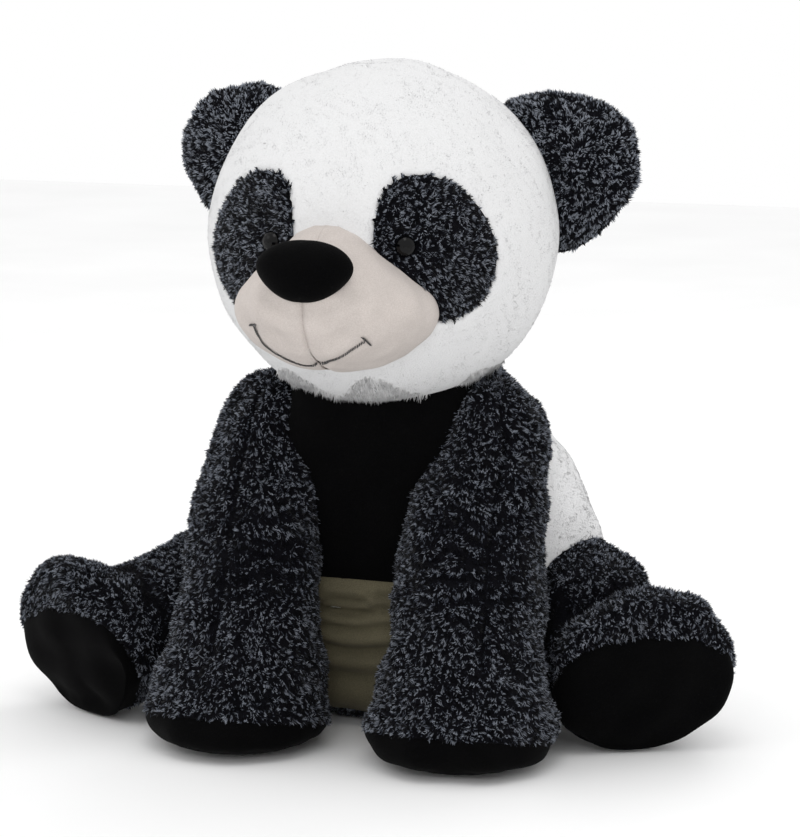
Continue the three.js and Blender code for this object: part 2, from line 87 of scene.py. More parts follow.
# The arm's stations are from the shoulder. The last column is the share of the left arm's fullness.
ARM = [
    [-6, 2, 48, 38, 40, 0],
    [0, 0, 0, 46, 46, 0.4],
    [0, -30, -58, 54, 52, 1],
    [0, -52, -118, 59, 56, 1],
    [0, -70, -168, 63, 60, 0.7],
    [0, -82, -206, 72, 68, 0.6],
    [0, -88, -234, 76, 73, 0.6],
    [0, -90, -266, 64, 62, 0.6],
]
ARM_FULLER = {"left": 9.0, "right": 0.0}
LEGS = {
    "left": [
        [88, 22, 88, 66, 74, 74],
        [130, -8, 88, 74, 82, 82],
        [170, -36, 81, 70, 74, 74],
        [204, -64, 70, 65, 61, 61],
        [229, -92, 70, 78, 68, 68],
        [244, -122, 66, 74, 66, 66],
    ],
    "right": [
        [-88, 22, 88, 66, 74, 74],
        [-137, -16, 87, 73, 80, 80],
        [-187, -52, 78, 69, 71, 71],
        [-231, -88, 67, 65, 60, 60],
        [-262, -118, 66, 77, 66, 66],
        [-282, -146, 62, 73, 63, 63],
    ],
}
SOLE_WAY = {"left": np.array([0.42, -0.87, -0.25]), "right": np.array([-0.45, -0.85, -0.28])}
SOLE_INSET, SOLE_FLAT, SOLE_SEAM = 9.0, 0.8, 10.0
SOLE_TIP = np.array([0.0, 0.0, -0.25])
FOOT_ROLL = 24.0
ARM_CAPS, LEG_CAPS, TORSO_CAPS = (50, 30), (44, 24), (46, 34)
COVER_INSET = -1.5
WAIST, YOKE_EDGE, SEAT_EDGE, FRONT_EDGE = 137, 256, 14, -34
CHEST_HALF, BELLY_HALF = 84, 112
HEAD_SEAM = HEAD_AT[1] + 18
SIDES = {"left": 1, "right": -1}


# ---- Small helpers ----

def smooth(x, low, high):
    """Rises gently from 0 at low to 1 at high."""
    t = np.clip((x - low) / (high - low), 0, 1)
    return t * t * (3 - 2 * t)


def unit(v):
    v = np.asarray(v, float)
    return v / np.maximum(np.linalg.norm(v, axis=-1, keepdims=True), 1e-9)


def bell(distance, width):
    """1 at no distance, falling off over about a width."""
    return np.exp(-0.5 * (distance / width) ** 2)


class Lumps:
    """Smooth seeded noise over space, about -1 to 1, from a sum of waves."""

    def __init__(self, seed, wavelength, waves=14):
        rng = np.random.default_rng(seed)
        self.k = unit(rng.normal(size=(waves, 3))) * 2 * math.pi / wavelength
        self.k *= rng.uniform(0.7, 1.5, (waves, 1))
        self.phase = rng.uniform(0, 2 * math.pi, waves)

    def __call__(self, p):
        return np.sin(p @ self.k.T + self.phase).sum(1) / math.sqrt(len(self.phase) / 2)


def spline(rows, t):
    """Points on a Catmull-Rom curve through the rows, t from 0 to 1."""
    rows = np.asarray(rows, float)
    n = len(rows) - 1
    ends = np.vstack([2 * rows[0] - rows[1], rows, 2 * rows[-1] - rows[-2]])
    at = np.clip(t, 0, 1) * n
    i = np.minimum(at.astype(int), n - 1)
    w = (at - i)[:, None]
    p0, p1, p2, p3 = (ends[i + k] for k in range(4))
    m1, m2 = 0.5 * (p2 - p0), 0.5 * (p3 - p1)
    return (
        (2 * w**3 - 3 * w**2 + 1) * p1
        + (w**3 - 2 * w**2 + w) * m1
        + (-2 * w**3 + 3 * w**2) * p2
        + (w**3 - w**2) * m2
    )


def grid_mesh(rings, start, end):
    """Vertices and faces of a closed body from rings of points between two poles."""
    count, around = len(rings), len(rings[0])
    verts = np.vstack([start, np.concatenate(rings), end])
    faces = []
    for k in range(around):
        n = (k + 1) % around
        faces.append((0, 1 + n, 1 + k))
        for i in range(count - 1):
            a, b = 1 + i * around, 1 + (i + 1) * around
            faces.append((a + k, a + n, b + n, b + k))
        last = 1 + (count - 1) * around
        faces.append((last + k, last + n, len(verts) - 1))
    return verts, faces


def on_floor(verts):
    """Cloth near the floor flattens on it instead of going through."""
    z = verts[:, 2]
    low = z < FLOOR_EDGE
    verts[low, 2] = FLOOR_EDGE * np.exp((z[low] - FLOOR_EDGE) / FLOOR_EDGE)
    verts[:, 2] = np.maximum(verts[:, 2], 0.3)
    return verts


def loft(stations, around, along, caps, grow=0.0, roll=None):
    """A rounded body through stations, upright sections for a leg and level ones otherwise."""
    rows = np.array(stations, float)
    places = rows[:, :3].copy()
    places[0] += unit(places[0] - places[1]) * grow
    places[-1] += unit(places[-1] - places[-2]) * grow
    fine = spline(places, np.linspace(0, 1, 200))
    length = np.linalg.norm(np.diff(fine, axis=0), axis=1).sum()
    rings = []
    angle = 2 * math.pi * np.arange(around) / around
    for i in range(1, along):
        t = 0.5 - 0.5 * math.cos(math.pi * i / along)
        at = spline(places, np.array([t]))[0]
        side, deep, back = spline(rows[:, 3:], np.array([t]))[0]
        tangent = unit(spline(places, np.array([t + 1e-4]))[0] - spline(places, np.array([t - 1e-4]))[0])
        from_start = min(1, t * length / (caps[0] + grow))
        from_end = min(1, (1 - t) * length / (caps[1] + grow))
        rounding = math.sqrt(1 - (1 - from_start) ** 2) * math.sqrt(1 - (1 - from_end) ** 2)
        if roll is None:
            u, v = np.array([1.0, 0, 0]), np.array([0, 1.0, 0])
        else:
            u = unit(np.cross([0, 0, 1.0], tangent))
            v = unit(np.cross(tangent, u))
            turn = math.radians(roll) * float(smooth(np.array(t), 0.55, 0.85))
            turn = Matrix.Rotation(turn, 3, Vector(tangent))
            u, v = np.array(turn @ Vector(u)), np.array(turn @ Vector(v))
        deeps = np.where(np.sin(angle) > 0, back, deep) + grow
        rings.append(
            at
            + np.outer(np.cos(angle) * (side + grow) * rounding, u)
            + np.outer(np.sin(angle) * deeps * rounding, v)
        )
    return grid_mesh(rings, places[:1], places[-1:])


def globe(around, rings):
    """A unit sphere with its poles on Z."""
    angle = 2 * math.pi * np.arange(around) / around
    made = []
    for i in range(1, rings):
        e = -math.pi / 2 + math.pi * i / rings
        wide, high = math.cos(e), np.full(around, math.sin(e))
        made.append(np.stack([wide * np.cos(angle), wide * np.sin(angle), high], 1))
    return grid_mesh(made, [[0, 0, -1.0]], [[0, 0, 1.0]])


def mesh_object(name, verts, faces):
    mesh = bpy.data.meshes.new(name)
    mesh.from_pydata((np.asarray(verts) * MM).tolist(), [], [tuple(f) for f in faces])
    mesh.update()
    bm = bmesh.new()
    bm.from_mesh(mesh)
    bmesh.ops.recalc_face_normals(bm, faces=bm.faces)
    bm.to_mesh(mesh)
    bm.free()
    mesh.shade_smooth()
    return add_object(name, mesh)


def add_object(name, data):
    obj = bpy.data.objects.new(name, data)
    bpy.context.collection.objects.link(obj)
    return obj


def vectors(items, name):
    """A vector property of every item, as rows."""
    values = np.empty(len(items) * 3, np.float32)
    items.foreach_get(name, values)
    return values.reshape(-1, 3).astype(float)


def points_of(mesh):
    return vectors(mesh.vertices, "co") / MM


def normals_of(mesh):
    return vectors(mesh.vertex_normals, "vector")


def set_points(mesh, points):
    mesh.vertices.foreach_set("co", (np.asarray(points) * MM).astype(np.float32).ravel())
    mesh.update()


def remove(obj):
    bpy.data.objects.remove(obj, do_unlink=True)


# ---- Cloth ----

FABRIC = {
    "quality": 4,
    "mass": 0.3,
    "tension_stiffness": 12,
    "compression_stiffness": 8,
    "shear_stiffness": 5,
    "bending_stiffness": 0.3,
}


class Skin:
    """One closed cover before it is cut into panels, with the places where its seams hold it."""

    def __init__(self, name, verts, faces, cap, pressure=4.0, slack=0.03, pins=None, floor=False):
        self.obj = mesh_object(name, verts, faces)
        self.cap, self.pressure, self.slack = cap, pressure, slack
        self.pins, self.floor = pins, floor

    def add_cloth(self):
        start = points_of(self.obj.data)
        self.start = start
        hold = np.zeros(len(start)) if self.pins is None else self.pins(start)
        if self.floor:
            hold = np.maximum(hold, 1 - smooth(start[:, 2], 4, 14))
        group = self.obj.vertex_groups.new(name="hold")
        for i in np.nonzero(hold > 0.02)[0]:
            group.add([int(i)], float(hold[i]), "REPLACE")
        cloth = self.obj.modifiers.new("cloth", "CLOTH")
        for key, value in FABRIC.items():
            setattr(cloth.settings, key, value)
        cloth.settings.use_pressure = True
        cloth.settings.uniform_pressure_force = self.pressure
        cloth.settings.effector_weights.gravity = 0
        cloth.settings.shrink_min = -self.slack
        cloth.settings.vertex_group_mass = "hold"
        cloth.collision_settings.use_collision = False
        cloth.point_cache.frame_start = 1
        cloth.point_cache.frame_end = SIM_FRAMES

    def take_cloth(self):
        deps = bpy.context.evaluated_depsgraph_get()
        puffed = points_of(self.obj.evaluated_get(deps).data)
        move = puffed - self.start
        far = np.linalg.norm(move, axis=1, keepdims=True)
        move *= np.tanh(far / self.cap) * self.cap / np.maximum(far, 1e-6)
        self.obj.modifiers.clear()
        set_points(self.obj.data, self.start + move)


def simulate(skins):
    for skin in skins:
        skin.add_cloth()
    scene = bpy.context.scene
    for number in range(1, SIM_FRAMES + 1):
        scene.frame_set(number)
    for skin in skins:
        skin.take_cloth()
    scene.frame_set(1)


def refine(obj):
    """One subdivision, applied."""
    step = obj.modifiers.new("fine", "SUBSURF")
    step.levels = step.render_levels = 1
    deps = bpy.context.evaluated_depsgraph_get()
    mesh = bpy.data.meshes.new_from_object(obj.evaluated_get(deps))
    obj.modifiers.clear()
    obj.data = mesh
    mesh.shade_smooth()


def displace(obj, amount):
    """Moves each point along its normal by amount(points, normals), in mm."""
    points, normals = points_of(obj.data), normals_of(obj.data)
    set_points(obj.data, points + normals * amount(points, normals)[:, None])


def cut(obj, planes):
    """Adds clean edges where planes, each (point, normal) in mm, cross the mesh."""
    bm = bmesh.new()
    bm.from_mesh(obj.data)
    for at, normal in planes:
        geometry = bm.verts[:] + bm.edges[:] + bm.faces[:]
        bmesh.ops.bisect_plane(
            bm, geom=geometry, dist=1e-6, plane_co=Vector(at) * MM, plane_no=Vector(normal).normalized()
        )
    bm.to_mesh(obj.data)
    bm.free()


def panels(obj, names, which):
    """Splits a mesh into pieces by face, each with its raw edge turned in."""
    mesh = obj.data
    label = which(vectors(mesh.polygons, "center") / MM)
    made = {}
    for index, name in enumerate(names):
        bm = bmesh.new()
        bm.from_mesh(mesh)
        bm.faces.ensure_lookup_table()
        gone = [f for f in bm.faces if label[f.index] != index]
        bmesh.ops.delete(bm, geom=gone, context="FACES")
        rim = [e for e in bm.edges if e.is_boundary]
        if rim:
            bm.normal_update()
            turned = bmesh.ops.extrude_edge_only(bm, edges=rim)["geom"]
            fresh = [v for v in turned if isinstance(v, bmesh.types.BMVert)]
            for v in fresh:
                v.co -= v.normal * HEM * MM
        piece_mesh = bpy.data.meshes.new(name)
        bm.to_mesh(piece_mesh)
        bm.free()
        piece_mesh.shade_smooth()
        made[name] = add_object(name, piece_mesh)
    remove(obj)
    return made


# ---- Materials ----

def grey(value):
    return (value, value, value, 1)


def linear(*srgb):
    return tuple(((c / 255 + 0.055) / 1.055) ** 2.4 if c > 10 else c / 255 / 12.92 for c in srgb) + (1.0,)


class Nodes:
    """A material's nodes, added and joined by name."""

    def __init__(self, name):
        self.material = bpy.data.materials.new(name)
        self.material.use_nodes = True
        self.tree = self.material.node_tree
        self.skin = self.tree.nodes["Principled BSDF"]

    def add(self, kind, inputs=None, **settings):
        node = self.tree.nodes.new(kind)
        for key, value in settings.items():
            setattr(node, key, value)
        for key, value in (inputs or {}).items():
            if isinstance(value, bpy.types.NodeSocket):
                self.tree.links.new(value, node.inputs[key])
            else:
                node.inputs[key].default_value = value
        return node

    def place(self):
        return self.add("ShaderNodeTexCoord").outputs["Object"]

    def noise(self, scale, detail, rough=0.6):
        inputs = {"Vector": self.place(), "Scale": scale, "Detail": detail, "Roughness": rough}
        return self.add("ShaderNodeTexNoise", inputs).outputs["Fac"]

    def ramp(self, value, stops):
        node = self.add("ShaderNodeValToRGB", {"Fac": value})
        while len(node.color_ramp.elements) < len(stops):
            node.color_ramp.elements.new(0.5)
        for element, (at, colour) in zip(node.color_ramp.elements, stops):
            element.position = at
            element.color = colour
        return node.outputs["Color"]

    def blend(self, factor, a, b, how="MIX"):
        node = self.add("ShaderNodeMix", data_type="RGBA", blend_type=how)
        for key, value in ((0, factor), (6, a), (7, b)):
            if isinstance(value, bpy.types.NodeSocket):
                self.tree.links.new(value, node.inputs[key])
            else:
                node.inputs[key].default_value = value
        return node.outputs[2]

    def bump(self, height, distance, strength=1.0):
        node = self.add("ShaderNodeBump", {"Height": height, "Distance": distance, "Strength": strength})
        self.tree.links.new(node.outputs["Normal"], self.skin.inputs["Normal"])

    def set(self, **values):
        for key, value in values.items():
            socket = self.skin.inputs[key.replace("_", " ")]
            if isinstance(value, bpy.types.NodeSocket):
                self.tree.links.new(value, socket)
            else:
                socket.default_value = value
        return self


def fibre_material(name, root, shades, sheen):
    """Pile: every fibre has its own shade, dark at its root, in drifts a few mm across."""
    n = Nodes(name)
    shade = n.add("ShaderNodeAttribute", attribute_name="shade").outputs["Fac"]
    tip = n.add("ShaderNodeAttribute", attribute_name="tip").outputs["Fac"]
    colour = n.ramp(shade, shades)
    drift = n.ramp(n.noise(90, 2.0), [(0.3, linear(205, 205, 205)), (0.7, linear(255, 255, 255))])
    colour = n.blend(1.0, colour, drift, "MULTIPLY")
    colour = n.blend(tip, root, colour)
    rough = n.ramp(n.noise(300, 1.0), [(0.2, grey(0.7)), (0.8, grey(0.9))])
    n.set(Base_Color=colour, Roughness=rough, Sheen_Weight=sheen, Sheen_Roughness=0.5)
    n.set(Specular_IOR_Level=0.05)
    return n.material


def backing_material(name, dark, light):
    """The knitted backing that shows between fibres."""
    n = Nodes(name)
    fine = n.noise(700, 4.0, 0.7)
    n.set(Base_Color=n.ramp(fine, [(0.3, dark), (0.7, light)]), Roughness=0.95, Sheen_Weight=0.03)
    n.set(Specular_IOR_Level=0.05)
    n.bump(fine, 0.0006)
    return n.material


def velour_material(name, dark, light, sheen, shine=0.04):
    """Short nap: fine grain, brushed patches and a soft sheen at the edges."""
    n = Nodes(name)
    grainy = n.noise(1100.0, 3.0, 0.65)
    brushed = n.noise(38, 3.0, 0.55)
    colour = n.ramp(grainy, [(0.3, dark), (0.7, light)])
    patches = n.ramp(brushed, [(0.3, linear(243, 243, 243)), (0.7, linear(255, 255, 255))])
    n.set(Base_Color=n.blend(1.0, colour, patches, "MULTIPLY"))
    n.set(Roughness=n.ramp(brushed, [(0.3, grey(0.8)), (0.7, grey(0.95))]))
    n.set(Sheen_Weight=sheen, Sheen_Roughness=0.45, Specular_IOR_Level=shine)
    n.bump(grainy, 0.0005, 0.8)
    return n.material


def plastic_material(name, colour, rough, coat, shine):
    n = Nodes(name)
    marks = n.noise(260, 4.0, 0.7)
    low, high = rough
    n.set(Base_Color=n.ramp(marks, [(0.3, colour), (0.8, tuple(c * 1.15 for c in colour[:3]) + (1,))]))
    n.set(Roughness=n.ramp(marks, [(0.35, grey(low)), (0.75, grey(high))]))
    n.set(Coat_Weight=coat, Coat_Roughness=0.03, Specular_IOR_Level=shine)
    return n.material


def thread_material(name, dark, light):
    n = Nodes(name)
    twist = n.add(
        "ShaderNodeTexWave", {"Vector": n.place(), "Scale": 420.0, "Distortion": 1.5}, wave_type="BANDS"
    ).outputs["Fac"]
    n.set(Base_Color=n.ramp(twist, [(0.2, dark), (0.8, light)]), Roughness=0.55, Sheen_Weight=0.3)
    n.bump(twist, 0.0003)
    return n.material


CHARCOAL_SHADES = [
    (0.0, linear(4, 4, 8)),
    (0.42, linear(11, 11, 17)),
    (0.58, linear(34, 36, 46)),
    (0.76, linear(108, 114, 128)),
    (1.0, linear(190, 197, 210)),
]
WHITE_SHADES = [(0.0, linear(219, 219, 220)), (0.5, linear(224, 224, 225)), (1.0, linear(230, 230, 231))]


def make_looks():
    """Every look's material, by name."""
    return {
        "charcoal": fibre_material("charcoal_plush_fibre", linear(4, 4, 6), CHARCOAL_SHADES, 0.05),
        "white": fibre_material("white_plush_fibre", linear(222, 221, 221), WHITE_SHADES, 0.08),
        "charcoal_back": backing_material("charcoal_backing", linear(3, 3, 5), linear(14, 14, 19)),
        "white_back": backing_material("white_backing", linear(217, 217, 217), linear(227, 227, 228)),
        "black": velour_material("black_velour", linear(1, 1, 1), linear(7, 7, 8), 0.012),
        "cream": velour_material("cream_velour", linear(190, 181, 175), linear(209, 201, 196), 0.08),
        # The belly is cream velour made much darker than the muzzle's: painted shade for the belly lying in
        # shadow between the arms.
        "belly": velour_material("belly_velour_painted_shade", linear(82, 77, 60), linear(108, 102, 82), 0.05, shine=0.2),
        "fill": backing_material("fibre_fill", linear(225, 225, 222), linear(250, 250, 248)),
        "bag": backing_material("pellet_bag_cloth", linear(188, 182, 165), linear(214, 208, 192)),
        "eye": plastic_material("eye_plastic", linear(2, 2, 3), (0.02, 0.05), 0.0, 0.2),
        "washer": plastic_material("washer_plastic", linear(222, 222, 216), (0.4, 0.55), 0.1, 0.5),
        "thread": thread_material("mouth_thread", linear(20, 18, 18), linear(58, 54, 52)),
    }


LOOKS = make_looks()


# ---- Binding to the frame's bodies ----


def bind(obj, body):
    """Arm, leg and ear pieces get their transform applied and stay unparented; everything else rides on its
    body's empty.
    """
    if body.startswith("arm"):
        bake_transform(obj)
    elif body.startswith("leg"):
        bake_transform(obj)
    elif body.startswith("ear"):
        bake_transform(obj)
    else:
        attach(obj, body)


def finish_piece(obj, body, look, nodes=()):
    """Gives a piece its look and body, and hides the CAD nodes that it replaces."""
    obj.data.materials.clear()
    obj.data.materials.append(LOOKS[look])
    bind(obj, body)
    if nodes:
        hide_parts(*nodes)
    return obj


# ---- Pile ----

def scatter(objects, per_mm2, rng, keep=None):
    """Seeded places on the objects' faces: points and normals, in mm."""
    all_points, all_normals = [], []
    for obj in objects:
        mesh = obj.data
        mesh.calc_loop_triangles()
        corners = np.empty(len(mesh.loop_triangles) * 3, np.int32)
        mesh.loop_triangles.foreach_get("vertices", corners)
        corners = corners.reshape(-1, 3)
        points, normals = points_of(mesh), normals_of(mesh)
        a, b, c = (points[corners[:, k]] for k in range(3))
        area = 0.5 * np.linalg.norm(np.cross(b - a, c - a), axis=1)
        count = int(area.sum() * per_mm2)
        chosen = np.searchsorted(np.cumsum(area) / area.sum(), rng.random(count))
        chosen = np.minimum(chosen, len(corners) - 1)
        r1, r2 = np.sqrt(rng.random((count, 1))), rng.random((count, 1))
        weights = [1 - r1, r1 * (1 - r2), r1 * r2]
        picked = corners[chosen]
        p = sum(w * points[picked[:, k]] for k, w in enumerate(weights))
        n = unit(sum(w * normals[picked[:, k]] for k, w in enumerate(weights)))
        all_points.append(p)
        all_normals.append(n)
    p, n = np.concatenate(all_points), np.concatenate(all_normals)
    if keep is not None:
        kept = keep(p)
        p, n = p[kept], n[kept]
    return p, n


# Each pelt: fibres for each mm2, their length and half width in mm, how far they lie over with the
# comb, how far the tufts pull them about, how wide a tuft and a fleck are in mm, and how pale it is.
LIMB_PELT = {
    "per_mm2": 0.6, "length": 4.3, "width": 0.85, "lay": 0.8, "mess": 0.6, "tuft": 7.0, "fleck": 5.8,
    "pale": 0.04,
}
# Ears and eye patches are paler than the arms: partly the lie of their nap, partly painted light for how
# brightly lit they are.
EAR_PELT = {**LIMB_PELT, "length": 4.2, "pale": 0.32}
PATCH_PELT = {**LIMB_PELT, "per_mm2": 0.75, "length": 3.8, "width": 0.75, "pale": 0.1}
SEAT_PELT = {**LIMB_PELT, "per_mm2": 0.2, "length": 4.0}
HEAD_PELT = {
    "per_mm2": 0.36, "length": 2.0, "width": 0.42, "lay": 1.5, "mess": 0.06, "tuft": 16.0, "fleck": 20.0,
    "pale": 0.0,
}
BACK_PELT = {**HEAD_PELT, "length": 2.6, "mess": 0.1}
CHIN_PELT = {
    **HEAD_PELT, "per_mm2": 0.42, "length": 6.0, "width": 0.6, "lay": 1.1, "mess": 0.3, "tuft": 12.0,
}


def pile(name, skins, look, body, pelt, comb, seed, keep=None, dark=None):
    """Fibres as slim three-sided cones, leaning with the comb and gathered in small tufts.

    Creases and seams, where the crease function given is near 1, have short fibres that are darkened:
    painted shade for the shadow in the fold."""
    rng = np.random.default_rng(seed)
    length, width = pelt["length"], pelt["width"]
    p, n = scatter(skins, pelt["per_mm2"], rng, keep)
    count = len(p)
    tufts = [Lumps(seed + k, pelt["tuft"], 18) for k in range(3)]
    swirls = [Lumps(seed + 10 + k, 42.0, 10) for k in range(3)]
    gather = np.stack([f(p) for f in tufts], 1)
    drift = np.stack([f(p) for f in swirls], 1)
    flow = comb(p, n)
    flow = unit(flow - n * (flow * n).sum(1, keepdims=True))
    lean = flow * pelt["lay"] + gather * pelt["mess"] + drift * 0.18
    way = unit(n + lean + rng.normal(size=(count, 3)) * 0.22)
    up = (way * n).sum(1, keepdims=True)
    way = unit(way + n * np.maximum(0.35 - up, 0))
    height = length * rng.uniform(0.65, 1.15, (count, 1)) * (1 + 0.16 * Lumps(seed + 20, 14.0)(p)[:, None])
    crease_and_painted_shade = np.zeros(count) if dark is None else np.clip(dark(p), 0, 1)
    height = height * (1 - 0.5 * crease_and_painted_shade[:, None])
    across = unit(np.cross(way, rng.normal(size=(count, 3))))
    other = np.cross(way, across)
    root = p - n * 0.8
    girth = width * rng.uniform(0.7, 1.3, (count, 1))
    turns = [(1.0, 0.0), (-0.5, 0.866), (-0.5, -0.866)]
    rings = [root + girth * (across * cx + other * cy) for cx, cy in turns]
    tip = root + way * height
    verts = np.stack([*rings, tip], 1).reshape(-1, 3)
    verts[:, 2] = np.maximum(verts[:, 2], 0.2)
    base = 4 * np.arange(count)[:, None]
    faces = np.concatenate([base + [[0, 1, 3]], base + [[1, 2, 3]], base + [[2, 0, 3]]], 1).reshape(-1, 3)
    mesh = bpy.data.meshes.new(name)
    mesh.vertices.add(len(verts))
    mesh.vertices.foreach_set("co", (verts * MM).astype(np.float32).ravel())
    mesh.loops.add(faces.size)
    mesh.loops.foreach_set("vertex_index", faces.astype(np.int32).ravel())
    mesh.polygons.add(len(faces))
    mesh.polygons.foreach_set("loop_start", np.arange(0, faces.size, 3, dtype=np.int32))
    mesh.update(calc_edges=True)
    fleck = Lumps(seed + 30, pelt["fleck"], 40)(p) + 0.6 * Lumps(seed + 31, 0.55 * pelt["fleck"], 40)(p)
    speck = 0.5 + 0.5 * np.tanh(1.5 * fleck + 0.3 * rng.normal(size=count))
    speck = 0.8 * speck + 0.2 * rng.random(count) + pelt["pale"]
    # Painted shade: fibres in creases and seams are darkened to stand in for the shadow there.
    speck = np.clip(speck * (1 - 0.8 * crease_and_painted_shade), 0, 1)
    shade = mesh.attributes.new("shade", "FLOAT", "POINT")
    shade.data.foreach_set("value", np.repeat(speck, 4).astype(np.float32))
    tips = mesh.attributes.new("tip", "FLOAT", "POINT")
    tips.data.foreach_set("value", np.tile([0.0, 0, 0, 1], count).astype(np.float32))
    cell_map(mesh, count)
    mesh.shade_smooth()
    return finish_piece(add_object(name, mesh), body, look)


def cell_map(mesh, count):
    """A UV layer with one square for each fibre, root at the bottom and tip at the top."""
    across = math.ceil(math.sqrt(count))
    i = np.arange(count)
    column, row = i % across, i // across
    uv = np.empty((count, 9, 2), np.float32)
    for corner in range(9):
        side, high = (0.5, 0.85) if corner % 3 == 2 else ((0.15, 0.15), (0.85, 0.15))[corner % 3]
        uv[:, corner, 0] = (column + side) / across
        uv[:, corner, 1] = (row + high) / across
    layer = mesh.uv_layers.new(name="OFBake")
    layer.data.foreach_set("uv", uv.ravel())


def comb_down(p, n):
    return np.tile([0.0, 0.0, -1.0], (len(p), 1))


def comb_out(p, n):
    """Level and away from the middle of the toy."""
    return p * [1, 1, 0]


def comb_from_face(p, n):
    """Away from the middle of the face, over the head and down behind."""
    return unit(p - (HEAD_AT + [0, -150, 10])) + [0, 0, -0.15]


# ---- Head ----

def head_point(azimuth, elevation, out=0.0):
    a, e = math.radians(azimuth), math.radians(elevation)
    way = np.array([math.sin(a) * math.cos(e), -math.cos(a) * math.cos(e), math.sin(e)])
    return HEAD_AT + (HEAD_RADII + out) * way


def outward(azimuth, elevation, spin):
    """Sideways, upwards and outwards at a place on the head, as rows."""
    way = unit(head_point(azimuth, elevation) - HEAD_AT)
    side = unit(np.cross([0, 0, 1.0], way))
    up = np.cross(way, side)
    s = math.radians(spin)
    return np.array([math.cos(s) * side + math.sin(s) * up, math.cos(s) * up - math.sin(s) * side, way])


def patch_frame(sign):
    """An eye patch's middle and its axes, on the left side of the head."""
    azimuth = FACE[sign]["patch"]
    return head_point(azimuth, PATCH["elevation"]), outward(azimuth, PATCH["elevation"], PATCH["spin"])


def patch_distance(p, sign):
    """Below 1 inside an eye patch."""
    at, axes = patch_frame(sign)
    local = (p * [sign, 1, 1] - at) @ axes.T
    y = local[:, 1] / PATCH["up"]
    swell = 1 - 0.1 * np.clip(y, -1, 1)
    x = local[:, 0] / (PATCH["side"] * swell)
    far = np.where(local[:, 2] < -90, 9.0, 0.0)
    return np.sqrt(x**2 + y**2) + far


def muzzle_width(height):
    t = np.clip((height + 0.35) / 1.35, 0, 1)
    return 1 - MUZZLE_TAPER * t * t * (3 - 2 * t)


def muzzle_points(unit_points, grow=0.0):
    p = np.array(unit_points, float)
    p[:, 0] *= muzzle_width(p[:, 2]) * MUZZLE_RADII[0] + grow
    p[:, 1:] *= MUZZLE_RADII[1:] + grow
    return p + MUZZLE_AT


def muzzle_depth(p, grow=0.0):
    """Below 1 inside the muzzle."""
    q = p - MUZZLE_AT
    z = q[:, 2] / (MUZZLE_RADII[2] + grow)
    y = q[:, 1] / (MUZZLE_RADII[1] + grow)
    x = q[:, 0] / (muzzle_width(np.clip(z, -1, 1)) * MUZZLE_RADII[0] + grow)
    return np.sqrt(x**2 + y**2 + z**2)


def eye_point(sign, out=0.0):
    return head_point(FACE[sign]["eye"], EYE_LEVEL, out) * [sign, 1, 1]


def snap_to_patch(p, sign, reach):
    """Points within reach of a patch's edge, in mm, are drawn onto it, so that the seam is smooth."""
    far = patch_distance(p, sign)
    near = np.abs(far - 1) * PATCH["side"] < reach
    at, axes = patch_frame(sign)
    local = (p * [sign, 1, 1] - at) @ axes.T
    local[near, :2] /= far[near, None]
    moved = (local @ axes + at) * [sign, 1, 1]
    return np.where(near[:, None], moved, p)


def make_head_skins():
    verts, faces = globe(112, 72)
    head = HEAD_AT + verts * (HEAD_RADII - 1.5)
    muzzle_verts, muzzle_faces = globe(72, 48)
    nose_verts, nose_faces = globe(44, 28)
    muzzle = muzzle_points(muzzle_verts, -1.5)
    nose = nose_shape(nose_verts)
    return {
        "head": Skin("head_skin", head, faces, cap=2.5, pressure=3, slack=0.01),
        "muzzle": Skin(
            "muzzle_skin", muzzle, muzzle_faces, cap=3.5, pressure=4, slack=0.03,
            pins=lambda p: bell(p[:, 0], 3.0) * (p[:, 1] < MUZZLE_AT[1]),
        ),
        "nose": Skin("nose_skin", nose, nose_faces, cap=2.5, pressure=5, slack=0.02),
    }


def nose_shape(unit_points, grow=0.0):
    """A rounded triangle, wide at the top, leaning with the muzzle."""
    p = np.array(unit_points, float)
    low = smooth(-p[:, 2], -0.35, 1.0)
    p[:, 0] *= 1 - 0.24 * low
    p[:, 0] = np.sign(p[:, 0]) * np.abs(p[:, 0]) ** 0.92
    p *= NOSE_RADII + grow
    c, s = math.cos(math.radians(NOSE_LEAN)), math.sin(math.radians(NOSE_LEAN))
    y, z = p[:, 1] * c - p[:, 2] * s, p[:, 1] * s + p[:, 2] * c
    return np.stack([p[:, 0], y, z], 1) + NOSE_AT


def smile_points(count):
    """The mouth's line on the muzzle, as turns about its centre."""
    across = np.linspace(-1, 1, count)
    bend = 1 - across**2
    azimuth = np.radians(36 * across - 14 * bend)
    elevation = np.radians(-22 - 4 * across - 38 * bend)
    unit_points = np.stack(
        [np.sin(azimuth) * np.cos(elevation), -np.cos(azimuth) * np.cos(elevation), np.sin(elevation)], 1
    )
    return muzzle_points(unit_points)


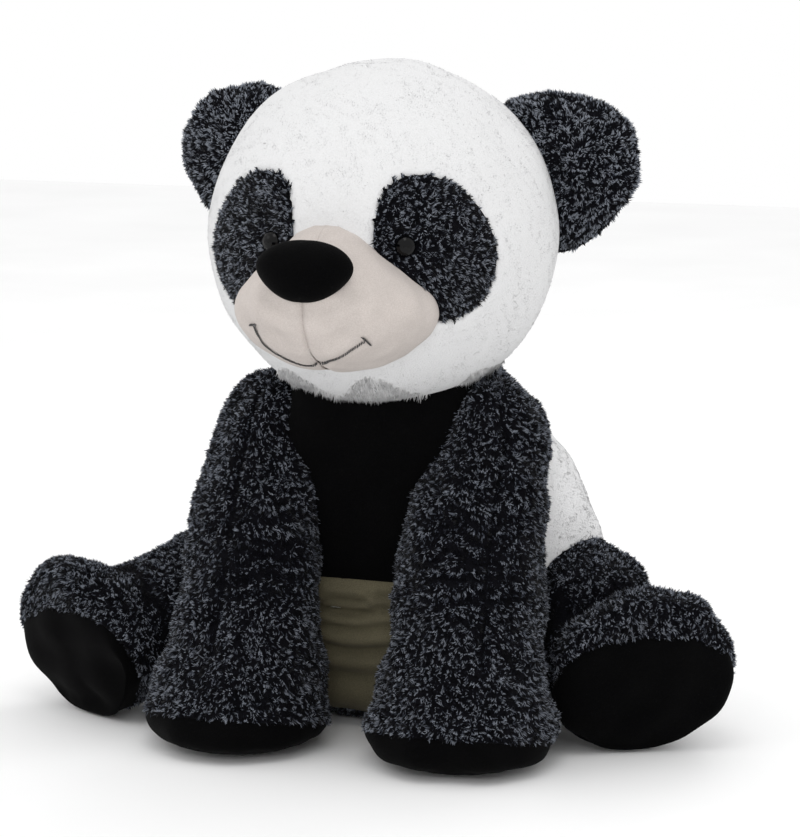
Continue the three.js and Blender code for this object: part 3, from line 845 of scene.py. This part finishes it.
def finish_head(skins):
    head = skins["head"].obj
    refine(head)
    lumps = Lumps(5, 90.0)

    def shape(p, n):
        depth = 0.8 * lumps(p)
        for sign in SIDES.values():
            depth -= 4.0 * bell(np.linalg.norm(p - eye_point(sign), axis=1), 13.0)
            depth -= 1.4 * bell((patch_distance(p, sign) - 1) * 55, 3.0)
        return depth - 1.2 * bell(p[:, 1] - HEAD_SEAM, 2.5)

    points = points_of(head.data)
    for sign in SIDES.values():
        points = snap_to_patch(points, sign, 2.2)
    set_points(head.data, points)
    displace(head, shape)
    cut(head, [((0, HEAD_SEAM, 0), (0, 1, 0))])
    names = ["face_cover", "head_back_cover", "eye_patch_left_cover", "eye_patch_right_cover"]

    def which(c):
        label = np.where(c[:, 1] < HEAD_SEAM, 0, 1)
        label = np.where(patch_distance(c, 1) < 1, 2, label)
        return np.where(patch_distance(c, -1) < 1, 3, label)

    made = panels(head, names, which)
    finish_piece(made["face_cover"], "head", "white_back", ["face_panel"])
    finish_piece(made["head_back_cover"], "head", "white_back", ["head_back_panel"])
    for side in SIDES:
        patch = made[f"eye_patch_{side}_cover"]
        finish_piece(patch, "head", "charcoal_back", [f"eye_patch_{side}"])

    muzzle = skins["muzzle"].obj
    refine(muzzle)
    smile = smile_points(61)
    fine = Lumps(7, 34.0)

    def soften(p, n):
        depth = 0.5 * fine(p)
        line = np.min(np.linalg.norm(p[:, None] - smile[None], axis=2), axis=1)
        depth -= 1.7 * bell(line, 2.2)
        low = smooth(-p[:, 2], -NOSE_AT[2] - 30, -NOSE_AT[2] + 12)
        depth -= 1.5 * bell(p[:, 0], 1.9) * low * (p[:, 1] < -200)
        return depth - 2.0 * bell((nose_distance(p) - 1) * 30, 4.0)

    displace(muzzle, soften)
    cut(muzzle, [((0, 0, 0), (1, 0, 0))])
    halves = ["muzzle_right_cover", "muzzle_left_cover"]
    made.update(panels(muzzle, halves, lambda c: (c[:, 0] > 0).astype(int)))
    for side in SIDES:
        finish_piece(made[f"muzzle_{side}_cover"], "head", "cream", [f"muzzle_panel_{side}"])

    nose = skins["nose"].obj
    refine(nose)
    nose.name = nose.data.name = "nose_cover_velour"
    finish_piece(nose, "head", "black", ["nose_cover"])
    make_mouth(made)
    return made


def nose_distance(p):
    q = (p - NOSE_AT) / (NOSE_RADII + [6, 30, 6])
    return np.linalg.norm(q, axis=1)


def make_mouth(made):
    """The smile in satin stitch: short slanted stitches side by side, with a tick at each end."""
    tree = cover_tree([made["muzzle_left_cover"], made["muzzle_right_cover"]])
    line = smile_points(104)
    marks = []
    for i in range(1, len(line) - 1):
        marks.append((line[i], unit(line[i + 1] - line[i - 1]), 2.0))
    for end, inner in ((0, 2), (-1, -3)):
        along = unit(line[end] - line[inner])
        out = unit(line[end] - MUZZLE_AT)
        across = unit(np.cross(along, out))
        for k in np.linspace(-5.5, 5.5, 9):
            marks.append((line[end] + across * k, across, 1.5))
    verts, faces = [], []
    for at, along, half in marks:
        hit, normal, _, _ = tree.find_nearest(Vector(at * MM))
        normal = np.array(normal)
        at = np.array(hit) / MM + normal * 0.9
        across = unit(np.cross(normal, along))
        slant = unit(across + 1.1 * along)
        add_stitch(verts, faces, at, slant, unit(np.cross(slant, normal)), normal, half, 0.95)
    stitches = mesh_object("mouth_embroidery", np.array(verts), faces)
    finish_piece(stitches, "head", "thread", ["mouth_stitching"])


def add_stitch(verts, faces, at, long, wide, up, half, thick):
    """One stitch: a slim bead with six sides, its ends tucked into the cloth."""
    start = len(verts)
    steps = [(-1.0, 0.05, -0.9), (-0.7, 0.8, 0.1), (0.0, 1.0, 0.45), (0.7, 0.8, 0.1), (1.0, 0.05, -0.9)]
    for t, girth, lift in steps:
        middle = at + long * half * t + up * lift * thick
        for k in range(6):
            a = math.pi * k / 3
            verts.append(middle + (wide * math.cos(a) * 0.62 + up * math.sin(a) * 0.5) * thick * girth)
    for i in range(len(steps) - 1):
        for k in range(6):
            a, b = start + 6 * i + k, start + 6 * i + (k + 1) % 6
            faces.append((a, b, b + 6, a + 6))
    faces.append(tuple(start + k for k in reversed(range(6))))
    faces.append(tuple(start + 6 * (len(steps) - 1) + k for k in range(6)))


def cover_tree(objects):
    bm = bmesh.new()
    for obj in objects:
        bm.from_mesh(obj.data)
    tree = BVHTree.FromBMesh(bm)
    bm.free()
    return tree


# ---- Ears, arms, legs, torso, tail ----

def ear_axes(side):
    flip = np.array([SIDES[side], 1, 1])
    out, along = EAR_OUT * flip, EAR_ALONG * flip
    return EAR_ROOT * flip, unit(out), unit(along), unit(np.cross(out, along)) * SIDES[side]


def ear_points(unit_points, side, grow=0.0):
    """A padded disc, sunk into the head at its root."""
    root, out, along, through = ear_axes(side)
    p = np.array(unit_points, float)
    x = np.maximum(p[:, 2] * (EAR_SIZE[0] + grow), -11.0)
    y = p[:, 1] * (EAR_SIZE[1] + grow)
    z = p[:, 0] * (EAR_SIZE[2] + grow)
    return root + np.outer(x, out) + np.outer(y, along) + np.outer(z, through)


def arm_stations(side):
    rows = np.array(ARM, float)
    fuller = rows[:, 5] * ARM_FULLER[side]
    rows[:, :3] += SHOULDER
    rows[:, 0] = SIDES[side] * (rows[:, 0] - fuller)
    rows[:, 3] += 0.5 * fuller
    rows[:, 5] = rows[:, 4]
    return rows


def sole_plane(side):
    """The plane that the sole is pressed flat against: a point and the way out of it."""
    way = unit(SOLE_WAY[side])
    return np.array(LEGS[side][-1][:3]) - way * SOLE_INSET, way


def leg_points(side, around, along, grow):
    verts, faces = loft(LEGS[side], around, along, LEG_CAPS, grow, roll=SIDES[side] * FOOT_ROLL)
    at, way = sole_plane(side)
    beyond = (verts - at) @ way - grow
    return verts - np.outer(np.maximum(beyond, 0) * SOLE_FLAT, way), faces


def arm_front_angle(p, side):
    """The way out of the arm at a point, in degrees from -Y towards +X."""
    rows = arm_stations(side)
    order = np.argsort(rows[:, 2])
    cx = np.interp(p[:, 2], rows[order, 2], rows[order, 0])
    cy = np.interp(p[:, 2], rows[order, 2], rows[order, 1])
    return np.degrees(np.arctan2(p[:, 0] - cx, -(p[:, 1] - cy)))


# The way that each arm's long seam faces, and each crease's height, depth and middle, in mm and degrees.
ARM_SEAM = {"left": 30.0, "right": -6.0}
ARM_CREASES = {
    "left": [(206, 0.7, 0), (192, 0.9, 10), (176, 1.0, -5), (160, 0.9, 5), (143, 0.7, 30), (232, 0.5, 10)],
    "right": [(196, 0.6, 20), (172, 0.9, 35), (160, 1.0, 30), (147, 0.9, 35), (135, 0.6, 25)],
}


def make_limb_skins():
    made = {}
    for side in SIDES:
        verts, faces = loft(arm_stations(side), 44, 52, ARM_CAPS, COVER_INSET)
        made[f"arm_{side}"] = Skin(
            f"arm_skin_{side}", on_floor(verts), faces, cap=5, pressure=4, slack=0.05, floor=True
        )
        verts, faces = leg_points(side, 44, 44, COVER_INSET)
        made[f"leg_{side}"] = Skin(
            f"leg_skin_{side}", on_floor(verts), faces, cap=4.5, pressure=4, slack=0.05, floor=True
        )
        verts, faces = globe(40, 40)
        made[f"ear_{side}"] = Skin(
            f"ear_skin_{side}", ear_points(verts[:, [2, 0, 1]], side, -1.0), faces, cap=3, slack=0.03,
            pins=lambda p, side=side: bell(ear_rim(p, side), 0.06),
        )
    return made


def ear_rim(p, side):
    root, out, along, _ = ear_axes(side)
    q = p - root
    return np.hypot(q @ out / EAR_SIZE[0], q @ along / EAR_SIZE[1]) - 1


def finish_arm(skin, side):
    obj = skin.obj
    refine(obj)
    lumps, waves = Lumps(21 + SIDES[side], 62.0), Lumps(25 + SIDES[side], 44.0)

    def folds(p):
        """0 on the smooth cloth to 1 in the long seam and in the creases at the elbow."""
        turn = arm_front_angle(p, side)
        deep = 0.9 * bell(turn - ARM_SEAM[side], 2.0) * smooth(p[:, 2], 70, 110)
        for z, strength, middle in ARM_CREASES[side]:
            bent = 4 * waves(p * [1, 1, 0.15])
            deep = np.maximum(deep, strength * bell(p[:, 2] - z - bent, 2.8) * bell(turn - middle, 36))
        return deep

    displace(obj, lambda p, n: (1.7 * lumps(p) - 6.0 * folds(p)) * smooth(p[:, 2], 3, 20))
    rows = arm_stations(side)
    at, tilt = (rows[-2, 0], rows[-2, 1], 25.0), (0, 0.2, 1)
    cut(obj, [(at, tilt)])
    tilt = unit(tilt)
    above = lambda c: ((c - at) @ tilt > 0).astype(int)
    pad, cover = panels(obj, [f"paw_pad_{side}_velour", f"arm_{side}_cover"], above).values()
    body = f"arm_{side}"
    # The fibres along the long seam and in the elbow creases get painted shade.
    pile(
        f"arm_{side}_pile", [cover], "charcoal", body, LIMB_PELT, comb_down, seed=300 + SIDES[side],
        keep=lambda p: (p - at) @ tilt > -1.0, dark=lambda p: 0.7 * folds(p),
    )
    finish_piece(cover, body, "charcoal_back", [f"arm_cover_{side}"])
    finish_piece(pad, body, "black", [f"paw_pad_{side}"])


def finish_leg(skin, side):
    obj = skin.obj
    refine(obj)
    lumps = Lumps(31 + SIDES[side], 58.0)
    rows = np.array(LEGS[side], float)
    out = unit(rows[-1, :3] - rows[-2, :3])
    sole, sole_way = sole_plane(side)
    sole = sole - sole_way * SOLE_SEAM
    sole_way = unit(sole_way + SOLE_TIP)

    def ankle(p):
        """1 in the fold over the ankle."""
        along = (p - rows[-3, :3]) @ out
        return bell(along - 4 + 4 * lumps(p * 1.7), 4.0) * smooth(p[:, 2], 60, 105)

    def shape(p, n):
        depth = 1.5 * lumps(p) - 2.2 * bell((p - sole) @ sole_way, 2.5) - 4.5 * ankle(p)
        return depth * smooth(p[:, 2], 3, 18)

    displace(obj, shape)
    cut(obj, [(sole, sole_way)])
    beyond = lambda c: ((c - sole) @ sole_way > 0).astype(int)
    cover, pad = panels(obj, [f"leg_{side}_cover", f"sole_pad_{side}_velour"], beyond).values()
    body = f"leg_{side}"
    # The fibres in the fold over the ankle get painted shade.
    pile(
        f"leg_{side}_pile", [cover], "charcoal", body, LIMB_PELT,
        lambda p, n: out + np.array([0, 0, -0.35]), seed=340 + SIDES[side],
        keep=lambda p: ((p - sole) @ sole_way < 1.5) & (p[:, 2] > 1.5), dark=lambda p: 0.8 * ankle(p),
    )
    finish_piece(cover, body, "charcoal_back", [f"leg_cover_{side}"])
    finish_piece(pad, body, "black", [f"sole_pad_{side}"])


def finish_ear(skin, side):
    obj = skin.obj
    refine(obj)
    lumps = Lumps(41 + SIDES[side], 40.0)
    root, out, along, through = ear_axes(side)

    def shape(p, n):
        depth = 0.9 * lumps(p) - 1.6 * bell(ear_rim(p, side), 0.03)
        front = smooth(-(n[:, 1]), 0.2, 0.8)
        return depth - 5.0 * front * bell(ear_rim(p, side) + 0.75, 0.35)

    displace(obj, shape)
    cut(obj, [(root, through)])
    names = [f"ear_back_{side}_cover", f"ear_front_{side}_cover"]
    front = -np.sign(through[1])
    made = panels(obj, names, lambda c: (front * ((c - root) @ through) > 0).astype(int))
    body = f"ear_{side}"
    away = lambda p, n: (p - root - out * 30)
    outside = lambda p: (((p - HEAD_AT) / (HEAD_RADII - 6)) ** 2).sum(1) > 1
    pile(
        f"ear_{side}_pile", list(made.values()), "charcoal", body, EAR_PELT, away,
        seed=380 + SIDES[side], keep=outside,
    )
    for part in ("front", "back"):
        piece = made[f"ear_{part}_{side}_cover"]
        finish_piece(piece, body, "charcoal_back", [f"ear_{part}_{side}"])


def make_torso_skin():
    verts, faces = loft(TORSO, 88, 60, TORSO_CAPS, COVER_INSET)
    waist = lambda p: bell(p[:, 2] - WAIST, 2.5) * smooth(-p[:, 1], 20, 60)
    return Skin("torso_skin", on_floor(verts), faces, cap=5, pressure=3, slack=0.03, pins=waist, floor=True)


def torso_label(c):
    """0 chest, 1 belly, 2 yoke, 3 back, 4 seat."""
    front = c[:, 1] < FRONT_EDGE
    label = np.where(c[:, 2] > YOKE_EDGE, 2, 3)
    label = np.where(front & (np.abs(c[:, 0]) < CHEST_HALF) & (c[:, 2] > WAIST), 0, label)
    label = np.where(front & (np.abs(c[:, 0]) < BELLY_HALF) & (c[:, 2] <= WAIST), 1, label)
    return np.where(c[:, 2] < SEAT_EDGE, 4, label)


# Each fold in the belly: its height, depth and width in mm.
BELLY_FOLDS = [(128, 9.0, 2.2), (116, 13.0, 3.0), (100, 8.0, 3.0), (77, 9.0, 5.0), (48, 7.0, 8.0)]


def finish_torso(skin):
    obj = skin.obj
    refine(obj)
    lumps, waves = Lumps(51, 80.0), Lumps(52, 110.0)

    def shape(p, n):
        front = smooth(-p[:, 1], 30, 70)
        depth = 1.6 * lumps(p)
        for z, strength, width in BELLY_FOLDS:
            height = p[:, 2] - z - 4 * waves(p * [1, 1, 0.3])
            depth += (0.5 * bell(height - 2 * width, width) - bell(height, width)) * strength * front
        depth -= 3.5 * bell(p[:, 2] - WAIST, 2.4) * front
        return depth * smooth(p[:, 2], 3, 20)

    displace(obj, shape)
    planes = [((0, 0, z), (0, 0, 1)) for z in (SEAT_EDGE, WAIST, YOKE_EDGE)]
    for x in (-BELLY_HALF, -CHEST_HALF, CHEST_HALF, BELLY_HALF):
        planes.append(((x, 0, 0), (1, 0, 0)))
    planes.append(((0, FRONT_EDGE, 0), (0, 1, 0)))
    cut(obj, planes)
    names = ["chest_cover", "belly_cover", "yoke_cover", "back_cover", "seat_cover"]
    made = panels(obj, names, torso_label)
    outside = lambda p: (((p - HEAD_AT) / (HEAD_RADII - 12)) ** 2).sum(1) > 1
    back, yoke, seat = [made["back_cover"]], [made["yoke_cover"]], [made["seat_cover"]]
    pile("back_pile", back, "white", "torso", BACK_PELT, comb_down, 401, keep=lambda p: p[:, 2] > 2)
    pile("yoke_pile", yoke, "charcoal", "torso", LIMB_PELT, comb_down, 402, keep=outside)
    pile("seat_pile", seat, "charcoal", "torso", SEAT_PELT, comb_out, 403, keep=lambda p: p[:, 2] > 0.8)
    # The belly's darker velour is painted shade.
    looks_of = {
        "chest": "black", "belly": "belly", "yoke": "charcoal_back", "back": "white_back",
        "seat": "charcoal_back",
    }
    for part, look in looks_of.items():
        finish_piece(made[f"{part}_cover"], "torso", look, [f"{part}_panel"])


def make_tail():
    verts, faces = globe(36, 24)
    tail = mesh_object("tail_cover_plush", TAIL_AT + verts * [33, 26, 29], faces)
    lumps = Lumps(61, 30.0)
    displace(tail, lambda p, n: 1.2 * lumps(p))
    pile("tail_pile", [tail], "white", "torso", BACK_PELT, comb_down, 410)
    finish_piece(tail, "torso", "white_back", ["tail_cover"])


def head_pile(made):
    clear = lambda p: (muzzle_depth(p, 1.0) > 1) & ear_clear(p)
    for name, seed in (("face", 501), ("head_back", 502)):
        cover = [made[f"{name}_cover"]]
        pile(f"{name}_pile", cover, "white", "head", HEAD_PELT, comb_from_face, seed, keep=clear)
    chin = lambda p: p[:, 2] < HEAD_AT[2] - 118 + 12 * np.sin(p[:, 0] / 13)
    pile("chin_pile", [made["face_cover"]], "white", "head", CHIN_PELT, comb_down, 505, keep=chin)
    for side, sign in SIDES.items():
        eye = eye_point(sign)
        near = lambda p: (muzzle_depth(p, 1.0) > 1) & (np.linalg.norm(p - eye, axis=1) > 10)
        pile(
            f"eye_patch_{side}_pile", [made[f"eye_patch_{side}_cover"]], "charcoal", "head",
            PATCH_PELT, comb_from_face, seed=510 + sign, keep=near,
        )


def ear_clear(p):
    """Away from where the ears go into the head."""
    clear = np.ones(len(p), bool)
    for side in SIDES:
        root, out, along, through = ear_axes(side)
        q = p - root
        inside = (np.abs(q @ through) < 14) & (np.abs(q @ along) < 68)
        clear &= ~inside
    return clear


# ---- Stuffing ----

def filling(name, verts, faces, body, node, look="fill"):
    """Loose fibre: the cover's shape drawn in, with lumps."""
    obj = mesh_object(name, verts, faces)
    lumps = Lumps(len(name) + len(node), 24.0)
    displace(obj, lambda p, n: 1.1 * lumps(p) - 0.6)
    return finish_piece(obj, body, look, [node])


def clamp(verts, low, high):
    verts = verts.copy()
    verts[:, 2] = np.clip(verts[:, 2], low, high)
    return verts


def make_stuffing():
    verts, faces = loft(TORSO, 40, 30, TORSO_CAPS, -11)
    filling("torso_fibre", clamp(verts, 50, 400), faces, "torso", "torso_stuffing")
    bag = clamp(verts * [0.8, 0.8, 1], 9, 36)
    filling("pellet_bag", bag, faces, "torso", "seat_pellet_bag", "bag")
    ball, ball_faces = globe(28, 20)
    filling("tail_fibre", TAIL_AT + ball * [25, 20, 22], ball_faces, "torso", "tail_stuffing")
    filling("neck_fibre", NECK_AT + ball * [38, 38, 18], ball_faces, "neck", "neck_stuffing")
    ball, ball_faces = globe(44, 30)
    filling("head_fibre", HEAD_AT + ball * (HEAD_RADII - 11), ball_faces, "head", "head_stuffing")
    filling("muzzle_fibre", muzzle_points(ball, -10), ball_faces, "head", "muzzle_stuffing")
    filling("nose_fibre", nose_shape(ball, -6), ball_faces, "head", "nose_stuffing")
    for side in SIDES:
        verts, faces = loft(arm_stations(side), 26, 26, ARM_CAPS, -10)
        verts[:, 2] = np.maximum(verts[:, 2], 7)
        filling(f"arm_fibre_{side}", verts, faces, f"arm_{side}", f"arm_stuffing_{side}")
        verts, faces = leg_points(side, 26, 24, -10)
        verts[:, 2] = np.maximum(verts[:, 2], 7)
        filling(f"leg_fibre_{side}", verts, faces, f"leg_{side}", f"leg_stuffing_{side}")
        verts = ear_points(ball[:, [2, 0, 1]] * [0.55, 1, 1], side, -9)
        filling(f"ear_fibre_{side}", verts, ball_faces, f"ear_{side}", f"ear_stuffing_{side}")


# ---- Hard parts from the CAD, camera, light ----

CAMERA = {"azimuth": 18, "elevation": 10, "distance": 3.0, "lens": 146.2}
CAMERA_TARGET = (-0.012, -0.004, 0.259)
FLOOR_HALF = 4000


def dress_hard_parts():
    for side in SIDES:
        for node, look in ((f"eye_{side}", "eye"), (f"eye_washer_{side}", "washer")):
            obj = bpy.data.objects[node]
            obj.data.materials.clear()
            obj.data.materials.append(LOOKS[look])


def aim(obj, at, target):
    obj.location = at
    obj.rotation_euler = (Vector(target) - Vector(at)).to_track_quat("-Z", "Y").to_euler()


def make_camera():
    data = bpy.data.cameras.new("camera")
    data.lens = CAMERA["lens"]
    data.sensor_width = 36
    camera = add_object("camera", data)
    azimuth, elevation = math.radians(CAMERA["azimuth"]), math.radians(CAMERA["elevation"])
    target = Vector(CAMERA_TARGET)
    level = math.cos(elevation)
    way = Vector((math.sin(azimuth) * level, -math.cos(azimuth) * level, math.sin(elevation)))
    aim(camera, target + way * CAMERA["distance"], target)
    bpy.context.scene.camera = camera


def area_light(name, at, target, size, power):
    data = bpy.data.lights.new(name, "AREA")
    data.shape = "DISK"
    data.size = size
    data.energy = power
    aim(add_object(name, data), at, target)


def make_studio():
    area_light("key", (0.3, -1.2, 2.9), (0, -0.05, 0.3), 1.4, 10)
    area_light("fill", (-1.9, -1.6, 1.7), (0, -0.05, 0.3), 1.2, 3)
    area_light("back", (0.4, 1.8, 1.8), (0, 0, 0.35), 1.2, 6)
    for x in (0.45, 1.05):
        area_light(f"catch_light_{x:.2f}", (x, -2.7, 1.35), (0, -0.2, 0.43), 0.4, 4)
    world = bpy.data.worlds.new("studio")
    world.use_nodes = True
    world.node_tree.nodes["Background"].inputs["Color"].default_value = (1, 1, 1, 1)
    world.node_tree.nodes["Background"].inputs["Strength"].default_value = 1.0
    bpy.context.scene.world = world
    bpy.context.scene.view_settings.view_transform = "Standard"
    corners = [(-FLOOR_HALF, -FLOOR_HALF, 0), (FLOOR_HALF, -FLOOR_HALF, 0)]
    corners += [(FLOOR_HALF, FLOOR_HALF, 0), (-FLOOR_HALF, FLOOR_HALF, 0)]
    floor = mesh_object("floor", corners, [(0, 1, 2, 3)])
    n = Nodes("studio_floor")
    n.set(Base_Color=n.ramp(n.noise(3, 2.0), [(0.3, linear(246, 246, 246)), (0.7, linear(250, 250, 250))]))
    n.set(Roughness=0.8)
    floor.data.materials.append(n.material)


# ---- Build ----

make_camera()
make_studio()
skins = {**make_head_skins(), **make_limb_skins(), "torso": make_torso_skin()}
simulate(list(skins.values()))
head_covers = finish_head(skins)
head_pile(head_covers)
for side_name in SIDES:
    finish_ear(skins[f"ear_{side_name}"], side_name)
    finish_arm(skins[f"arm_{side_name}"], side_name)
    finish_leg(skins[f"leg_{side_name}"], side_name)
finish_torso(skins["torso"])
make_tail()
make_stuffing()
dress_hard_parts()
